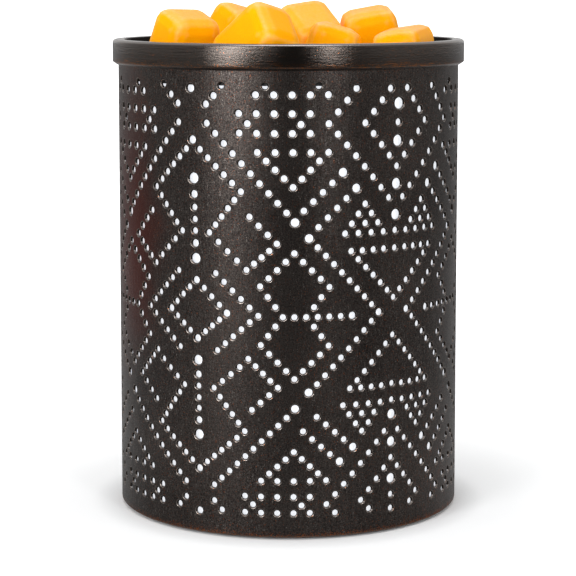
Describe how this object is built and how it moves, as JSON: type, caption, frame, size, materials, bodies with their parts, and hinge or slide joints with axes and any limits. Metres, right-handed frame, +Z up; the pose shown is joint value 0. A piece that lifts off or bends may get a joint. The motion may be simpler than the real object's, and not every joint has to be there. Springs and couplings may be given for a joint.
{
  "type": "electric wax warmer",
  "caption": "Upright cylindrical wax warmer: perforated metal shell lit from inside, white sleeve, lift-off dish with rim band, wax blocks, twist-base lamp, wired base.",
  "frame": {"origin": "on the floor under the middle of the body", "axes": "+Z up along the body's axis, -Y towards the front seen in the picture, +X to its right; the cord gland is at the back, +Y"},
  "size_m": [0.124, 0.124, 0.1784],
  "materials": {
    "oil_rubbed_bronze": "dark bronze plating rubbed to copper at the edges, satin",
    "brushed_bronze": "dark bronze plating brushed round the rim, rubbed to copper in streaks",
    "black_steel": "black satin paint",
    "zinc_plate": "zinc plated",
    "frosted_sleeve": "translucent white, frosted",
    "black_rubber": "matte",
    "white_ceramic": "unglazed off-white",
    "reflector_glass": "faceted, mirror-coated inside",
    "lens_glass": "frosted",
    "natural_nylon": "moulded, milky",
    "brass": "bright",
    "amber_wax": "cast wax, translucent, frosted",
    "lead_brown": "wire insulation",
    "lead_blue": "wire insulation",
    "lead_green": "wire insulation"
  },
  "bodies": {
    "housing": {"shell": "oil_rubbed_bronze", "top_ring": "black_steel", "diffuser_liner": "frosted_sleeve", "cord_gland": "black_rubber", "base_plate": "black_steel", "foot_1": "black_rubber", "foot_2": "black_rubber", "foot_3": "black_rubber", "foot_4": "black_rubber", "lamp_bridge": "zinc_plate", "lamp_holder": "white_ceramic", "holder_screw_1": "zinc_plate", "holder_screw_2": "zinc_plate", "base_screw_1": "zinc_plate", "base_screw_2": "zinc_plate", "base_nut_1": "zinc_plate", "base_nut_2": "zinc_plate", "earth_screw": "zinc_plate", "terminal_block": "natural_nylon", "terminal_screw_1": "brass", "terminal_screw_2": "brass", "terminal_screw_3": "brass", "terminal_screw_4": "brass", "terminal_screw_5": "brass", "terminal_screw_6": "brass", "lead_live": "lead_brown", "lead_neutral": "lead_blue", "lead_earth": "lead_green"},
    "lamp": {"lamp_base": "white_ceramic", "lamp_reflector": "reflector_glass", "lamp_lens": "lens_glass", "lamp_pin_1": "brass", "lamp_pin_2": "brass"},
    "dish": {"wax_dish": "brushed_bronze"},
    "wax": {"wax_melt_1": "amber_wax", "wax_melt_2": "amber_wax", "wax_melt_3": "amber_wax", "wax_melt_4": "amber_wax", "wax_melt_5": "amber_wax", "wax_melt_6": "amber_wax", "wax_melt_7": "amber_wax"}
  },
  "joints": [
    {"name": "lamp_twist", "type": "hinge", "parent": "housing", "child": "lamp", "pos_m": [0, 0, 0.0838], "axis": [0, 0, 1], "range_deg": [0, 25]},
    {"name": "dish_lift", "type": "slide", "parent": "housing", "child": "dish", "axis": [0, 0, 1], "range_m": [0, 0.06]},
    {"name": "wax_lift", "type": "slide", "parent": "dish", "child": "wax", "axis": [0, 0, 1], "range_m": [0, 0.04]}
  ]
}
